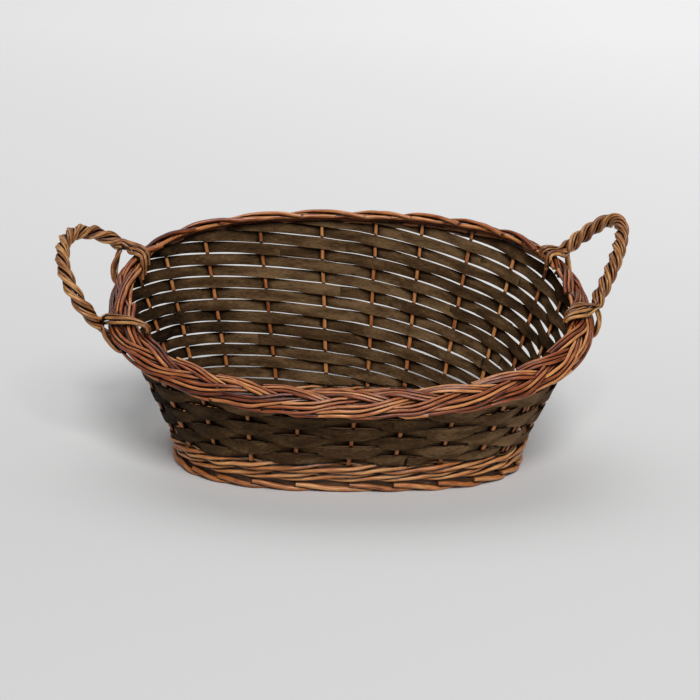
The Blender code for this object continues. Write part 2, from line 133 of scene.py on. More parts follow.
# Places on the basket.


def signed_power(value, power):
    """A power that keeps the sign of the value."""
    return math.copysign(abs(value) ** power, value)


def oval(half, roundness, turn):
    """Place on an oval. Roundness 1 is an ellipse, and less is fuller at the corners."""
    angle = 2 * math.pi * turn
    x = half[0] * signed_power(math.cos(angle), roundness)
    y = half[1] * signed_power(math.sin(angle), roundness)
    return x, y


def ring_point(turn):
    """Place on the ring where the wall starts."""
    x, y = oval(RING_HALF, RING_ROUNDNESS, turn)
    return Vector((x, y + RING_SET_BACK, WALL_START)) + SHIFT


def rim_point(turn):
    """Place on the border's middle line, which slopes down to the front."""
    rear = math.sin(2 * math.pi * turn) > 0
    x, y = oval(RIM_HALF, RIM_REAR_ROUNDNESS if rear else RIM_FRONT_ROUNDNESS, turn)
    return Vector((x, y, RIM_MIDDLE_HEIGHT + RIM_SLOPE * y)) + SHIFT


def tangent_of(place, turn):
    """Direction of a ring at a turn, anticlockwise seen from above."""
    return (place(turn + TURN_STEP) - place(turn - TURN_STEP)).normalized()


def outward_of(place, turn):
    """Level direction out of a ring at a turn."""
    tangent = tangent_of(place, turn)
    return Vector((tangent.y, -tangent.x, 0.0)).normalized()


def turn_at(turns, index):
    """Turn share at a stake, or between two stakes where the index is not whole."""
    whole = math.floor(index)
    laps, first = divmod(whole, STAKES)
    start = turns[first] + laps
    laps, second = divmod(whole + 1, STAKES)
    return start + (turns[second] + laps - start) * (index - whole)


def between(values, index):
    """A value that is given at each stake, read at a stake or between two."""
    whole = math.floor(index)
    here = values[whole % STAKES]
    return here + (values[(whole + 1) % STAKES] - here) * (index - whole)


def wall_directions(index):
    """Foot of the wall, its length to the rim, its upward direction and its outward normal."""
    turn = turn_at(FOOT_TURNS, index)
    foot = ring_point(turn)
    rise = rim_point(turn_at(TOP_TURNS, index)) - foot
    up = rise.normalized()
    return foot, rise.length, up, tangent_of(ring_point, turn).cross(up).normalized()


def wall_point(index, climb, out=0.0):
    """Place on the wall, a distance up from its foot and a distance out of it."""
    foot, _, up, normal = wall_directions(index)
    return foot + up * climb + normal * out


def climb_at_height(index, height):
    """Distance up the wall at which it has a height above the ground."""
    foot, _, up, _ = wall_directions(index)
    return (height - foot.z) / up.z


def border_frame(turn):
    """Centre of the border, its tangent, and its wide and thin directions."""
    tangent = tangent_of(rim_point, turn)
    out = outward_of(rim_point, turn)
    out = (out - tangent * out.dot(tangent)).normalized()
    up = out.cross(tangent).normalized()
    wide = out * math.cos(BORDER_LEAN) - up * math.sin(BORDER_LEAN)
    thin = out * math.sin(BORDER_LEAN) + up * math.cos(BORDER_LEAN)
    return rim_point(turn), tangent, wide, thin


def border_place(index, across, over):
    """Place in the border, a distance across its width and a distance over its middle."""
    centre, _, wide, thin = border_frame(turn_at(TOP_TURNS, index))
    return centre + wide * across + thin * over


def border_ring(turn, angle, lift, along=0.0):
    """Place round the border: angle 0 is its outer edge, 90 degrees its upper face."""
    centre, tangent, wide, thin = border_frame(turn)
    angle = math.radians(angle)
    across = wide * ((BORDER_HALF_WIDTH + lift) * math.cos(angle))
    return centre + across + thin * ((BORDER_HALF_THICKNESS + lift) * math.sin(angle)) + tangent * along


# Willow rods.

# Bends of a rod and waves in its thickness, in radians a metre and as shares.
SLOW_BENDS = 90
QUICK_BENDS = 210
QUICK_SHARE = 0.6
THICKNESS_WAVES = 160
THICKNESS_SHARE = 0.03
# Knots: steps of the path for each, steps that one takes up, and how much it swells the rod.
KNOT_STEPS = 22
KNOT_LENGTH = 1.3
KNOT_SWELL = 0.09
TINT_SPREAD = 0.45


def smooth_path(points, spacing):
    """A smooth line through the points, read off at even steps."""
    fineness = 12
    points = [Vector(p) for p in points]
    ends = [2 * points[0] - points[1], *points, 2 * points[-1] - points[-2]]
    line = []
    for a, b, c, d in zip(ends, ends[1:], ends[2:], ends[3:]):
        for step in range(fineness):
            t = step / fineness
            bend = (2 * a - 5 * b + 4 * c - d) * t ** 2 + (3 * b - a - 3 * c + d) * t ** 3
            line.append(0.5 * (2 * b + (c - a) * t + bend))
    line.append(points[-1])
    lengths = np.cumsum([0.0] + [(q - p).length for p, q in zip(line, line[1:])])
    count = max(4, round(lengths[-1] / spacing))
    steps = np.linspace(0, lengths[-1], count + 1)
    table = np.array(line)
    return [Vector([np.interp(s, lengths, table[:, k]) for k in range(3)]) for s in steps]


def willow_rod(name, points, radius, taper=0.0, pale=0.5, spacing=3 * MM, wander=0.15 * MM):
    """A round rod with a slight wander, a few swollen knots and cut ends."""
    path = smooth_path(points, spacing)
    bpy.ops.curve.primitive_nurbs_path_add()
    rod = bpy.context.object
    rod.name = name
    curve = rod.data
    curve.splines.clear()
    spline = curve.splines.new("POLY")
    spline.points.add(len(path) - 1)
    phases = [chance.uniform(0, FULL_WAVE) for _ in range(6)]
    knots = [chance.uniform(0, 1) for _ in range(max(1, round(len(path) / KNOT_STEPS)))]
    for number, (control, place) in enumerate(zip(spline.points, path)):
        share = number / (len(path) - 1)
        s = number * spacing
        slow = Vector([math.sin(s * SLOW_BENDS + phase) for phase in phases[:3]])
        quick = Vector([math.sin(s * QUICK_BENDS + phase) for phase in phases[3:]])
        drift = slow + QUICK_SHARE * quick
        control.co = (*(place + drift * wander), 1.0)
        swell = sum(math.exp(-((share - knot) * len(path) / KNOT_LENGTH) ** 2) for knot in knots)
        uneven = 1 + KNOT_SWELL * swell + THICKNESS_SHARE * math.sin(s * THICKNESS_WAVES + phases[0])
        control.radius = (1 + taper * (0.5 - share)) * uneven
    curve.bevel_depth = radius
    curve.bevel_resolution = 3
    curve.use_fill_caps = True
    bpy.ops.object.convert(target="MESH")
    rod = bpy.context.object
    rod.name = name
    mesh = rod.data
    size = np.array((spacing * (len(path) - 1), 2 * math.pi * radius), np.float32)
    values = np.empty(len(mesh.loops) * 2, np.float32)
    uv = mesh.uv_layers.active
    uv.data.foreach_get("uv", values)
    values = values.reshape(-1, 2) * size + chance.uniform(0, PATTERN_SHIFT)
    uv.data.foreach_set("uv", values.ravel())
    tint = mesh.attributes.new("tint", "FLOAT", "POINT")
    value = pale + chance.uniform(-TINT_SPREAD, TINT_SPREAD)
    tint.data.foreach_set("value", np.full(len(mesh.vertices), value, np.float32))
    bpy.ops.object.shade_smooth_by_angle(angle=math.radians(50))
    rod.select_set(False)
    return rod


def joined(name, rods):
    """Several rods as one piece."""
    bpy.ops.object.select_all(action="DESELECT")
    for rod in rods:
        rod.select_set(True)
    bpy.context.view_layer.objects.active = rods[0]
    if len(rods) > 1:
        bpy.ops.object.join()
    rods[0].name = name
    rods[0].select_set(False)
    return rods[0]


def finish_piece(piece, materials, nodes):
    """Gives a piece its materials, hangs it from the root body and hides the parts of the model that it
    stands for.

    A rod's sides are faces of four corners. Its cut ends have more, and take the second material.
    """
    mesh = piece.data
    mesh.materials.clear()
    for material in materials:
        mesh.materials.append(material)
    if len(materials) > 1:
        for face in mesh.polygons:
            face.material_index = 1 if len(face.vertices) > 4 else 0
    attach(piece, "root")
    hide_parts(*nodes)
    pieces.append(piece)


def paint_crevice_shade(neighbours):
    """Gives each point of the pieces the share of its near surroundings that other surfaces cover, for
    painted shade in the finishes.
    """
    reach = 7 * MM
    clear = 0.3 * MM
    rays = 8
    steep, flat = 1.0, 2.4
    places = []
    faces = []
    for piece in neighbours:
        start = len(places)
        places += [vertex.co.copy() for vertex in piece.data.vertices]
        faces += [[start + number for number in face.vertices] for face in piece.data.polygons]
    tree = BVHTree.FromPolygons(places, faces)
    for piece in neighbours:
        shade_shares = []
        for vertex in piece.data.vertices:
            normal = vertex.normal
            side = normal.orthogonal().normalized()
            other = normal.cross(side)
            origin = vertex.co + normal * clear
            total = 0.0
            for ray in range(rays):
                angle = 2 * math.pi * ray / rays
                lean = steep if ray % 2 else flat
                direction = normal + (side * math.cos(angle) + other * math.sin(angle)) * lean
                distance = tree.ray_cast(origin, direction, reach)[3]
                if distance is not None:
                    total += 1 - distance / reach
            shade_shares.append(total / rays)
        crevice_shade = piece.data.attributes.new("crevice_shade", "FLOAT", "POINT")
        crevice_shade.data.foreach_set("value", np.array(shade_shares, np.float32))


# Finishes.

# Numbers of a colour Mix node's inputs and output, because their names repeat.
MIX_FACTOR = 0
MIX_FIRST = 6
MIX_SECOND = 7
MIX_RESULT = 2


def linear(code):
    """Linear colour of an sRGB hex value."""
    parts = [int(code[k:k + 2], 16) / 255 for k in (1, 3, 5)]
    return (*[c / 12.92 if c <= 0.04045 else ((c + 0.055) / 1.055) ** 2.4 for c in parts], 1.0)


def add_node(material, kind, settings=None, values=None, links=None, stops=()):
    """Adds a node with its settings, its input values, the links into it and a ramp's colours.

    An input is given by its name, or by its number where its name repeats.
    """
    node = material.node_tree.nodes.new(kind)
    for key, value in (settings or {}).items():
        setattr(node, key, value)
    for key, value in (values or {}).items():
        node.inputs[key].default_value = value
    for key, source in (links or {}).items():
        material.node_tree.links.new(source, node.inputs[key])
    for number, (place, code) in enumerate(stops):
        if number > 1:
            node.color_ramp.elements.new(place)
        node.color_ramp.elements[number].position = place
        node.color_ramp.elements[number].color = linear(code)
    return node


def new_finish(name, roughness, ior, shine):
    """A material whose shader has its plain values set on its own sockets."""
    material = bpy.data.materials.new(name)
    material.use_nodes = True
    shader = material.node_tree.nodes["Principled BSDF"]
    shader.inputs["Roughness"].default_value = roughness
    shader.inputs["IOR"].default_value = ior
    shader.inputs["Specular IOR Level"].default_value = shine
    return material, shader


def stained_willow(name, dark, middle, light, roughness, unlike, full_shade_at):
    """Peeled willow, boiled, stained and thinly varnished.

    The eye sees streaks along the rod, darker patches, rods of unlike depth of stain and a soft shine. Where
    rods touch, the colour darkens as painted shade.
    A rod of middle tint has the same depth of stain, however unlike the rods are.
    """
    middle_depth = 0.2
    streak_share = 0.5
    patch_share = 0.5
    material, shader = new_finish(name, roughness, ior=1.5, shine=0.4)
    place = add_node(material, "ShaderNodeUVMap", {"uv_map": "UVMap"}).outputs["UV"]
    # Streaks about 9 mm long and 0.5 mm wide, and patches about 22 mm long and 4 mm wide.
    streaks = add_node(
        material, "ShaderNodeMapping", None, {"Scale": (1 / (9 * MM), 1 / (0.5 * MM), 1)}, {"Vector": place},
    )
    streak = add_node(
        material, "ShaderNodeTexNoise", {"noise_dimensions": "2D"}, {"Scale": 1.0, "Detail": 3.0},
        {"Vector": streaks.outputs["Vector"]},
    )
    patches = add_node(
        material, "ShaderNodeMapping", None, {"Scale": (1 / (22 * MM), 1 / (4 * MM), 1)}, {"Vector": place},
    )
    patch = add_node(
        material, "ShaderNodeTexNoise", {"noise_dimensions": "2D"}, {"Scale": 1.0, "Detail": 2.0},
        {"Vector": patches.outputs["Vector"]},
    )
    tint = add_node(material, "ShaderNodeAttribute", {"attribute_name": "tint"}).outputs["Fac"]
    patched = add_node(
        material, "ShaderNodeMath", {"operation": "MULTIPLY"}, {1: patch_share}, {0: patch.outputs["Fac"]},
    )
    streaked = add_node(
        material, "ShaderNodeMath", {"operation": "MULTIPLY_ADD"}, {1: streak_share},
        {0: streak.outputs["Fac"], 2: patched.outputs["Value"]},
    )
    spread = add_node(
        material, "ShaderNodeMath", {"operation": "MULTIPLY_ADD"},
        {1: unlike, 2: middle_depth - unlike / 2}, {0: tint},
    )
    depth = add_node(
        material, "ShaderNodeMath", {"operation": "ADD"}, None,
        {0: spread.outputs["Value"], 1: streaked.outputs["Value"]},
    )
    colour = add_node(
        material, "ShaderNodeValToRGB", None, None, {"Fac": depth.outputs["Value"]},
        ((0.42, dark), (0.68, middle), (0.95, light)),
    )
    # Painted shade: the colour darkens towards near black where other surfaces cover a point, where rods
    # touch.
    crevice_shade = add_node(material, "ShaderNodeAttribute", {"attribute_name": "crevice_shade"}).outputs["Fac"]
    shade_amount = add_node(
        material, "ShaderNodeMapRange", None,
        {"From Min": full_shade_at / 4, "From Max": full_shade_at, "To Max": 0.95}, {"Value": crevice_shade},
    )
    shaded_colour = add_node(
        material, "ShaderNodeMix", {"data_type": "RGBA"}, {MIX_SECOND: linear("#140602")},
        {MIX_FACTOR: shade_amount.outputs["Result"], MIX_FIRST: colour.outputs["Color"]},
    )
    material.node_tree.links.new(shaded_colour.outputs[MIX_RESULT], shader.inputs["Base Color"])
    bump = add_node(
        material, "ShaderNodeBump", None,
        {"Strength": 0.5, "Distance": 0.2 * MM}, {"Height": streak.outputs["Fac"]},
    )
    material.node_tree.links.new(bump.outputs["Normal"], shader.inputs["Normal"])
    return material


def cut_willow():
    """The cut end of a stained rod: paler open wood that takes no shine."""
    material, shader = new_finish("cut_willow_end", roughness=0.85, ior=1.45, shine=0.3)
    place = add_node(material, "ShaderNodeTexCoord").outputs["Object"]
    noise = add_node(
        material, "ShaderNodeTexNoise", None, {"Scale": 1 / (1.2 * MM), "Detail": 2.0}, {"Vector": place},
    )
    colour = add_node(
        material, "ShaderNodeValToRGB", None, None, {"Fac": noise.outputs["Fac"]},
        ((0.35, "#6E3F1E"), (0.65, "#B07A48")),
    )
    material.node_tree.links.new(colour.outputs["Color"], shader.inputs["Base Color"])
    return material


def stained_chipwood():
    """Sliced poplar chip, stained dark and left matt.

    The eye sees short fibres along the chip, clouds of stain, and chips of unlike depth of brown, partly at
    random and partly painted light and shade by place. Where chips and stakes touch, the colour darkens as
    painted shade.
    """
    fibre_share = 0.55
    cloud_share = 0.45
    tint_share = 0.25
    material, shader = new_finish("stained_chipwood", roughness=0.85, ior=1.45, shine=0.12)
    place = add_node(material, "ShaderNodeUVMap", {"uv_map": "UVMap"}).outputs["UV"]
    # Fibres about 5 mm long and 0.6 mm apart, drawn coarser than the real ones so that they show,
    # and clouds of stain about 28 mm long and 7 mm wide.
    fibres = add_node(
        material, "ShaderNodeMapping", None, {"Scale": (1 / (5 * MM), 1 / (0.6 * MM), 1)}, {"Vector": place},
    )
    fibre = add_node(
        material, "ShaderNodeTexNoise", {"noise_dimensions": "2D"},
        {"Scale": 1.0, "Detail": 4.0, "Roughness": 0.7}, {"Vector": fibres.outputs["Vector"]},
    )
    clouds = add_node(
        material, "ShaderNodeMapping", None, {"Scale": (1 / (28 * MM), 1 / (7 * MM), 1)}, {"Vector": place},
    )
    cloud = add_node(
        material, "ShaderNodeTexNoise", {"noise_dimensions": "2D"}, {"Scale": 1.0, "Detail": 3.0},
        {"Vector": clouds.outputs["Vector"]},
    )
    tint = add_node(material, "ShaderNodeAttribute", {"attribute_name": "tint"}).outputs["Fac"]
    clouded = add_node(
        material, "ShaderNodeMath", {"operation": "MULTIPLY"}, {1: cloud_share}, {0: cloud.outputs["Fac"]},
    )
    fibred = add_node(
        material, "ShaderNodeMath", {"operation": "MULTIPLY_ADD"}, {1: fibre_share},
        {0: fibre.outputs["Fac"], 2: clouded.outputs["Value"]},
    )
    depth = add_node(
        material, "ShaderNodeMath", {"operation": "MULTIPLY_ADD"}, {1: tint_share},
        {0: tint, 2: fibred.outputs["Value"]},
    )
    colour = add_node(
        material, "ShaderNodeValToRGB", None, None, {"Fac": depth.outputs["Value"]},
        ((0.38, "#170D06"), (0.62, "#4A351F"), (0.90, "#846849")),
    )
    # Painted shade: the colour darkens towards near black where other surfaces cover a point, where chips and
    # stakes touch.
    crevice_shade = add_node(material, "ShaderNodeAttribute", {"attribute_name": "crevice_shade"}).outputs["Fac"]
    shade_amount = add_node(
        material, "ShaderNodeMapRange", None,
        {"From Min": 0.03, "From Max": 0.42, "To Max": 0.95}, {"Value": crevice_shade},
    )
    shaded_colour = add_node(
        material, "ShaderNodeMix", {"data_type": "RGBA"}, {MIX_SECOND: linear("#120A05")},
        {MIX_FACTOR: shade_amount.outputs["Result"], MIX_FIRST: colour.outputs["Color"]},
    )
    material.node_tree.links.new(shaded_colour.outputs[MIX_RESULT], shader.inputs["Base Color"])
    bump = add_node(
        material, "ShaderNodeBump", None,
        {"Strength": 0.5, "Distance": 0.15 * MM}, {"Height": fibre.outputs["Fac"]},
    )
    material.node_tree.links.new(bump.outputs["Normal"], shader.inputs["Normal"])
    return material


def stained_plywood():
    """Thin plywood, stained brown and left matt: broad soft grain lines along the basket."""
    material, shader = new_finish("stained_plywood", roughness=0.75, ior=1.45, shine=0.3)
    place = add_node(material, "ShaderNodeTexCoord").outputs["Object"]
    # Grain lines about 90 mm long and 2.5 mm apart.
    lines = add_node(
        material, "ShaderNodeMapping", None, {"Scale": (1 / (90 * MM), 1 / (2.5 * MM), 1)}, {"Vector": place},
    )
    grain = add_node(
        material, "ShaderNodeTexNoise", None,
        {"Scale": 1.0, "Detail": 5.0}, {"Vector": lines.outputs["Vector"]},
    )
    colour = add_node(
        material, "ShaderNodeValToRGB", None, None, {"Fac": grain.outputs["Fac"]},
        ((0.3, "#2A1C11"), (0.55, "#4A3220"), (0.75, "#6A4A30")),
    )
    material.node_tree.links.new(colour.outputs["Color"], shader.inputs["Base Color"])
    bump = add_node(
        material, "ShaderNodeBump", None,
        {"Strength": 0.3, "Distance": 0.2 * MM}, {"Height": grain.outputs["Fac"]},
    )
    material.node_tree.links.new(bump.outputs["Normal"], shader.inputs["Normal"])
    return material


STAKE_WILLOW = stained_willow(
    "stained_willow_stake", "#5C2A10", "#AA6634", "#D69F66", roughness=0.36, unlike=0.26, full_shade_at=0.37,
)
BORDER_WILLOW = stained_willow(
    "stained_willow_border", "#3A1005", "#8C431B", "#CE8C52", roughness=0.3, unlike=0.38, full_shade_at=0.37,
)
HANDLE_WILLOW = stained_willow(
    "stained_willow_handle", "#331405", "#88522A", "#D6A05E", roughness=0.34, unlike=0.18, full_shade_at=0.28,
)
CUT_END = cut_willow()
CHIPWOOD = stained_chipwood()
PLYWOOD = stained_plywood()


# The stakes, with their foot runs.

# Along a foot run and up at its stake: gaps before the stake, and millimetres out of the ring and up.
FOOT_RUN = (
    (1.95, 6.0, 6.2), (1.7, 6.0, 5.6), (1.45, 5.9, 4.3), (1.2, 5.8, 3.0),
    (0.95, 5.5, 2.3), (0.7, 3.4, 2.1), (0.45, 0.6, 2.05), (0.12, 0.0, 2.05),
    (0.02, 0.0, 2.55), (0.0, 0.0, 6.05),
)
# Places up the wall, as shares of its length, and how far below the border's middle line a stake ends.
STAKE_SHARES = (0.02, 0.25, 0.5, 0.75)
STAKE_END = 3 * MM
# A thinner rod beside a stake: its places up the wall, its radius and its distance from the stake.
BY_STAKE_SHARES = (0.2, 0.5, 0.97)
BY_STAKE_RADIUS = 1.3 * MM
BY_STAKE_ASIDE = 3.4 * MM


def foot_place(index, out, height):
    """Place near the foot, a distance out of the ring of stakes and a height above the ground."""
    turn = turn_at(FOOT_TURNS, index)
    place = ring_point(turn) + outward_of(ring_point, turn) * out
    place.z = height
    return place


def make_stakes():
    """Each stake starts at its cut end on the foot border, turns under the base and climbs the wall."""
    for index in range(STAKES):
        points = [foot_place(index - gaps, out * MM, height * MM) for gaps, out, height in FOOT_RUN]
        _, length, _, _ = wall_directions(index)
        for share in STAKE_SHARES:
            points.append(wall_point(index, length * share))
        points.append(wall_point(index, length - STAKE_END))
        name = f"stake_{index + 1:02d}"
        stake = willow_rod(name + "_rod", points, STAKE_RADIUS, taper=0.22)
        finish_piece(stake, (STAKE_WILLOW, CUT_END), (name,))


def make_by_stakes():
    """A thinner rod pushed in beside a stake."""
    for side, index in BY_STAKES:
        points = []
        _, length, _, _ = wall_directions(index)
        for share in BY_STAKE_SHARES:
            here = wall_point(index, length * share)
            towards = wall_point(index - 1, length * share) - here
            points.append(here + towards.normalized() * BY_STAKE_ASIDE)
        rod = willow_rod(f"by_stake_{side}_rod", points, BY_STAKE_RADIUS)
        finish_piece(rod, (STAKE_WILLOW, CUT_END), (f"by_stake_{side}",))


# The wale.

WALE_ROUNDS = 2
RODS_A_ROUND = 3
# A rod's course, half gap by half gap: outward place and height in steps.
WALE_COURSE = ((1, 0.0), (1, 0.5), (1, 1.0), (0, 1.0), (-1, 0.5), (0, 0.0))
# Where a rod starts in its course, and the steps from one round up to the next.
BEHIND_STAKE = 4
ROUND_STEPS = 2


def make_wale():
    """Three rods a round. Each passes outside two stakes, rising, and inside the third."""
    weave = STAKE_RADIUS + WALE_RADIUS
    for number in range(WALE_ROUNDS * RODS_A_ROUND):
        wale_round, rod = divmod(number, RODS_A_ROUND)
        points = []
        for step in range(BEHIND_STAKE, BEHIND_STAKE + 2 * STAKES + 2):
            side, steps = WALE_COURSE[step % len(WALE_COURSE)]
            height = WALE_FIRST_HEIGHT + WALE_STEP * (ROUND_STEPS * wale_round + steps)
            index = rod + step / 2
            points.append(wall_point(index, climb_at_height(index, height), weave * side))
        name = f"wale_rod_{number + 1}"
        wale = willow_rod(name + "_willow", points, WALE_RADIUS, taper=0.1, wander=0.3 * MM)
        finish_piece(wale, (STAKE_WILLOW, CUT_END), (name,))


# The chipwood strips.

# What shows of a strip: half its width and the least that shows, in rows, the fewest gaps, and the laps
# round the basket over which it is followed.
HALF_STRIP = 0.44
LEAST_ROWS = 0.16
LEAST_GAPS = 4
LAPS = 3
# Edges that go under the wale or the border stop there, a hair apart.
TUCKED = 1 * MM
TUCKED_SPREAD = 0.05 * MM
# Gap between a chip and the stake that it passes.
CHIP_CLEARANCE = 0.1 * MM
# Chips of a strip, in gaps: how far a strip runs on unseen, the length of a chip, the least length that
# is left for the last one, the lap of two chips and the length over which the upper one settles.
RUN_ON = 1.6
CHIP_LENGTH = (6.5, 9.5)
LEAST_CHIP = 3
LAP = (0.9, 1.3)
LAP_SETTLES = 1.3
# How far the upper chip of a lap stands off, in thicknesses, and the mesh steps in a gap.
LAP_THICKNESSES = 1.1
STEPS_A_GAP = 12
# How uneven a chip is: size, and radians a gap. Sizes across the chip are shares of a row.
SWAY = (0.03, 0.8)
OWN_SWAY = (0.02, 1.7)
EDGE_WAVE = (0.012, 5.3)
CUP = (0.3 * MM, 1.1)
TILT = (0.35 * MM, 1.9)
# How far waves are shifted from strip to strip and from edge to edge, and how deep a cup's middle is.
STRIP_SHIFT = 0.5
EDGE_SHIFT = 3
CUP_MIDDLE = 0.4
SPARE_WIDTH = 0.02
CHIP_TINT_SPREAD = 0.28
# The size of a gap and of a chip's width in the pattern.
GAP_SIZE = 45 * MM
CHIP_WIDTH = 9.5 * MM


def climbed_rows(index):
    """Rows that a strip has climbed, from the first stake on."""
    whole = math.floor(index)
    laps, rest = divmod(whole, STAKES)
    return laps * sum(CLIMBS) + sum(CLIMBS[:rest]) + CLIMBS[rest] * (index - whole)


def climb_under_border(index):
    """Distance up the wall at which it meets the border's underside."""
    _, length, up, _ = wall_directions(index)
    _, _, wide, thin = border_frame(turn_at(TOP_TURNS, index))
    return length - 1 / math.hypot(up.dot(wide) / BORDER_HALF_WIDTH, up.dot(thin) / BORDER_HALF_THICKNESS)


def strip_runs():
    """Strip number, first stake and last stake of each stretch that shows.

    A strip that passes under the low front of the border comes out again where the border rises.
    """
    runs = []
    for strip in range(1, STRIP_COUNT + 1):
        start = None
        for index in range(LAPS * STAKES + 1):
            rows = climbed_rows(index) + FIRST_ROW - strip
            low = max(rows - HALF_STRIP, 0.0)
            high = min(rows + HALF_STRIP, ROW_COUNTS[index % STAKES])
            shows = high - low >= LEAST_ROWS and index < LAPS * STAKES
            if shows and start is None:
                start = index
            if not shows and start is not None:
                if index - start >= LEAST_GAPS:
                    runs.append((strip, start, index - 1))
                start = None
    return runs


def chip_place(strip, index, across, out):
    """Place on a strip's middle surface. Across is a share of a row from the strip's middle line."""
    bottom = climb_at_height(index, ROWS_START)
    pitch = (climb_under_border(index) - bottom) / between(ROW_COUNTS, index)
    rows = climbed_rows(index) + FIRST_ROW - strip
    _, length, _, _ = wall_directions(index)
    climb = bottom + (rows + across) * pitch
    inset = TUCKED_SPREAD * across
    climb = min(max(climb, bottom - TUCKED + inset), length - TUCKED + inset)
    side = -math.cos(math.pi * (index - strip))
    return wall_point(index, climb, side * (STAKE_RADIUS + CHIP_THICKNESS / 2 + CHIP_CLEARANCE) + out)


def wave(kind, index, phase):
    """Size of one kind of unevenness at a place along the strip."""
    size, pace = kind
    return size * math.sin(index * pace + phase)


def make_chip(name, strip, start, end, lift):
    """One chip: a thin ribbon, wavy where it passes the stakes, that laps onto the chip before it."""
    steps = max(4, round((end - start) * STEPS_A_GAP))
    bpy.ops.mesh.primitive_grid_add(x_subdivisions=steps, y_subdivisions=4, size=1)
    chip = bpy.context.object
    chip.name = name
    mesh = chip.data
    phases = [chance.uniform(0, FULL_WAVE) for _ in range(4)]
    shift = chance.uniform(0, PATTERN_SHIFT)
    spare = chance.uniform(-SPARE_WIDTH, SPARE_WIDTH)
    own_tint = chance.uniform(-CHIP_TINT_SPREAD, CHIP_TINT_SPREAD)
    places = {}
    tints = []
    for vertex in mesh.vertices:
        along = vertex.co.x + 0.5
        across = vertex.co.y
        places[vertex.index] = (along, across)
        index = start + (end - start) * along
        ease = min(1.0, max(0.0, (index - start) / LAP_SETTLES))
        layer = lift * (1 - ease * ease * (3 - 2 * ease))
        sway = wave(SWAY, index, strip * STRIP_SHIFT) + wave(OWN_SWAY, index, phases[0])
        edge = wave(EDGE_WAVE, index, phases[1] + EDGE_SHIFT * across) * abs(2 * across)
        cup = wave(CUP, index, phases[3]) * (4 * across * across - CUP_MIDDLE)
        tilt = wave(TILT, index, phases[2]) * across
        squeezed = between(SQUEEZED_SHARES, index)
        full = between(FULL_SHARES, index)
        width = squeezed + (full - squeezed) * math.cos(math.pi * index) ** 2 + spare + edge
        # The tint is the chip's own random stain plus the painted light and shade of its place.
        tints.append(own_tint + between(PAINTED_LIGHT_AND_SHADE, index))
        vertex.co = chip_place(strip, index, across * width + sway, layer + cup + tilt)
    length = GAP_SIZE * (end - start)
    uv = mesh.uv_layers.active
    for loop in mesh.loops:
        along, across = places[loop.vertex_index]
        uv.data[loop.index].uv = (along * length + shift, across * CHIP_WIDTH + shift)
    tint = mesh.attributes.new("tint", "FLOAT", "POINT")
    tint.data.foreach_set("value", np.array(tints, np.float32))
    thickness = chip.modifiers.new("thickness", "SOLIDIFY")
    thickness.thickness = CHIP_THICKNESS
    thickness.offset = 0.0
    bpy.ops.object.modifier_apply(modifier="thickness")
    bpy.ops.object.shade_smooth_by_angle(angle=math.radians(40))
    chip.select_set(False)
    return chip


def make_chips():
    """Every strip is made of chips, spliced by a lap of about one gap."""
    for number, (strip, first, last) in enumerate(strip_runs(), start=1):
        first -= RUN_ON
        last += RUN_ON
        chips = []
        start = first
        while True:
            end = start + chance.uniform(*CHIP_LENGTH)
            if last - end < LEAST_CHIP:
                end = last
            lift = 0.0 if start == first else chance.choice((-1, 1)) * CHIP_THICKNESS * LAP_THICKNESSES
            chips.append(make_chip(f"chip_{number:02d}_{len(chips) + 1}", strip, start, end, lift))
            if end == last:
                break
            start = end - chance.uniform(*LAP)
        for chip in chips:
            finish_piece(chip, (CHIPWOOD,), (f"chip_strip_{number:02d}",))


# The border.

# Course of a group of rods, gap by gap from the stake where it starts. It comes up at the inner
# edge, crosses straight to the outer edge, runs along it and comes back slowly. Across, 1 is the outer edge.
ACROSS_COURSE = ((-0.45, -1.0), (0.0, -1.0), (1.4, 1.0), (2.4, 1.0), (3.8, -0.75), (4.1, -0.8))
# It lies over the other groups at 1 and under them at -1.
HEIGHT_COURSE = (
    (-0.45, -2.4), (-0.1, 0.4), (0.05, 1.0), (0.6, 1.0), (0.9, -1.0),
    (1.6, -1.0), (1.85, 0.9), (3.1, 1.0), (3.35, -1.2), (4.1, -2.6),
)
# Where a rod starts and ends on its course, in gaps, the steps in which it is drawn, and the length
# over which a corner of the course is rounded off.
COURSE_START = -0.45
COURSE_END = (3.9, 4.1)
COURSE_STEP = 0.13
CORNER = 0.22
# Gaps from where a group starts to its stake.
STAKE_AFTER = 0.25
# The groups' middle surface: how high it is in the middle, how far it falls away to both edges, and
# how far over it or under it a group lies.
CROWN = 2.2 * MM
CROWN_FALL = 3.8 * MM
OVER_HEIGHT = 1.5 * MM
# Rods of a group: their place across it and how far that varies, in millimetres, and their thickness.
LANES = (-3.0, 0.0, 3.0)
LANE_SPREAD = 0.3
OUTER_LANE = LANES[-1] * MM
ROD_THICKNESS = (0.86, 1.08)
# The short thick rod: its place across the group, where it starts and ends, and its thickness.
BUTT_LANE = 5.6 * MM
BUTT_START = (0.6, 0.85)
BUTT_END = 1.7
BUTT_RADIUS = 1.65 * MM
# Rods inside the border: their places across and over it, in millimetres, and their thickness.
INNER_RODS = ((-8.0, -3.0), (-3.0, -2.6), (3.0, -2.6), (8.0, -3.0))
INNER_RADIUS = 1.8 * MM
# The border's paleness, and how much of the painted light and shade from left to right it takes.
BORDER_PALENESS = 0.3
BORDER_PAINTED_LIGHT_SHARE = 0.4


def along_course(course, gaps):
    """Value of a course, with its corners rounded off."""
    near = gaps + np.linspace(-CORNER, CORNER, 5)
    return float(np.interp(near, [place for place, _ in course], [value for _, value in course]).mean())


def border_surface(across):
    """Height of the groups' middle surface, which falls away to both edges."""
    return CROWN - CROWN_FALL * (across / BORDER_REACH) ** 2


